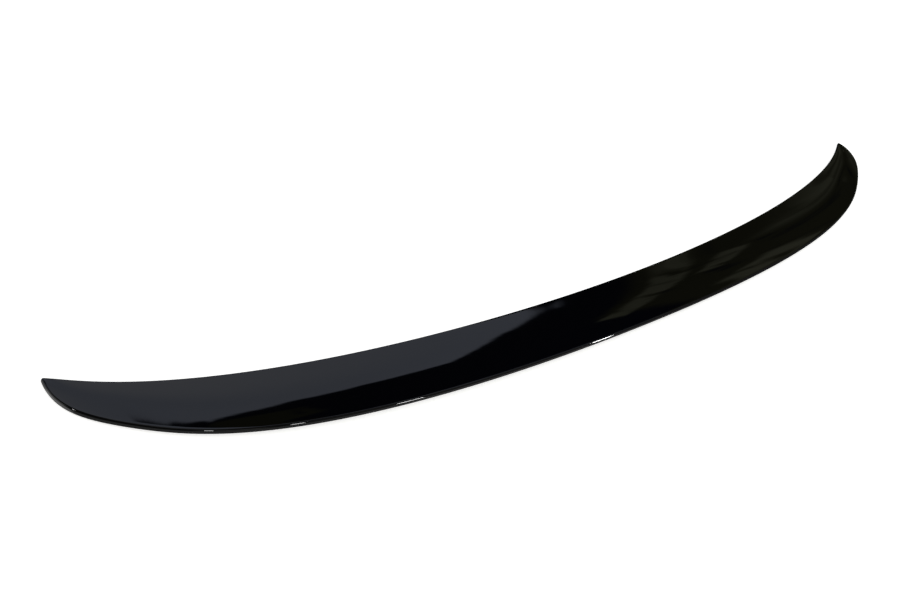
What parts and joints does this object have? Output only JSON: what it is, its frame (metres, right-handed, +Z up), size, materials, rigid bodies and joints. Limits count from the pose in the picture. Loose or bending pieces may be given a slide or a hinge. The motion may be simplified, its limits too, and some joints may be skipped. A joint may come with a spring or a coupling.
{
  "type": "car rear lip spoiler",
  "caption": "Crescent-shaped boot-lid lip spoiler with a concave upper face, a thin raised rear lip, tips swept forward and a hollow ribbed underside for bonding.",
  "frame": {"origin": "middle of the part's box, on the plane of the bonding face that it lies on", "axes": "+X across the car, +Y toward the front of the car, so the lip is on the -Y side, +Z up"},
  "size_m": [1.2012, 0.1638, 0.0125],
  "materials": {
    "gloss_black_abs": "mirror gloss black"
  },
  "bodies": {
    "root": {"lip_spoiler": "gloss_black_abs"}
  },
  "joints": []
}
